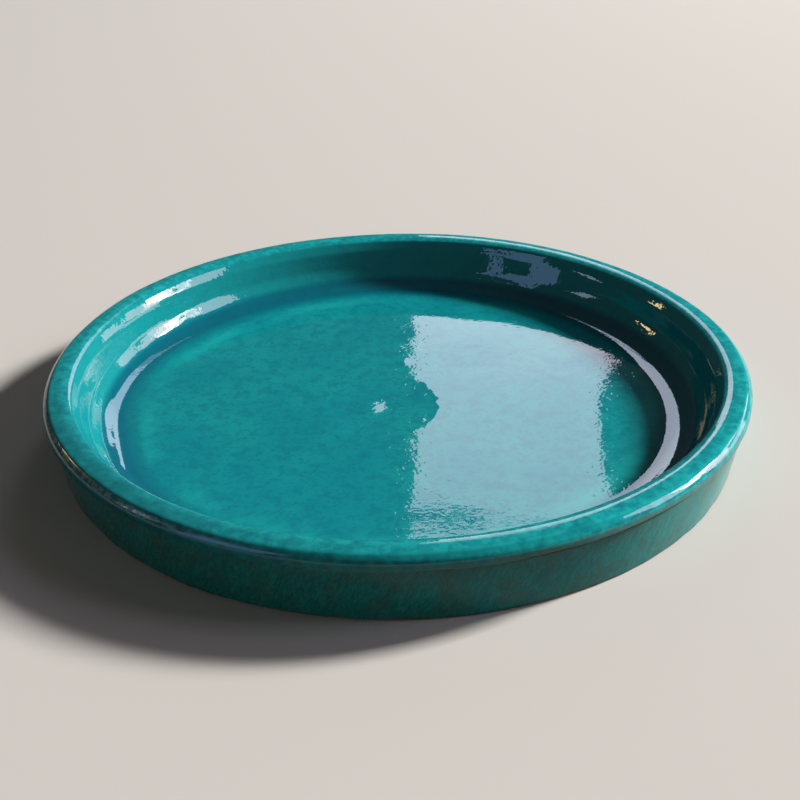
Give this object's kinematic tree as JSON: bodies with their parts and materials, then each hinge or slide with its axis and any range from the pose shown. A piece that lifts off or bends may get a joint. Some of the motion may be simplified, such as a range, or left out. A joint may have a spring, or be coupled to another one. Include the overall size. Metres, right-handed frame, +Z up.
{
  "type": "plant saucer",
  "caption": "Round glazed ceramic saucer with a low wall and a banded rim, which stands under a plant pot and catches the water that drains from it.",
  "frame": {"origin": "centre of the foot ring, on the surface that the saucer stands on", "axes": "+Z up, along the axis that the saucer was turned on; the saucer is round, so X and Y have no direction of their own"},
  "size_m": [0.27, 0.27, 0.0269],
  "materials": {
    "clay": "bare fired clay, matt",
    "inside_glaze": "thick turquoise glaze, glossy",
    "outside_glaze": "thin streaked turquoise glaze, satin"
  },
  "bodies": {
    "root": {"clay_body": "clay", "inside_glaze": "inside_glaze", "outside_glaze": "outside_glaze"}
  },
  "joints": []
}
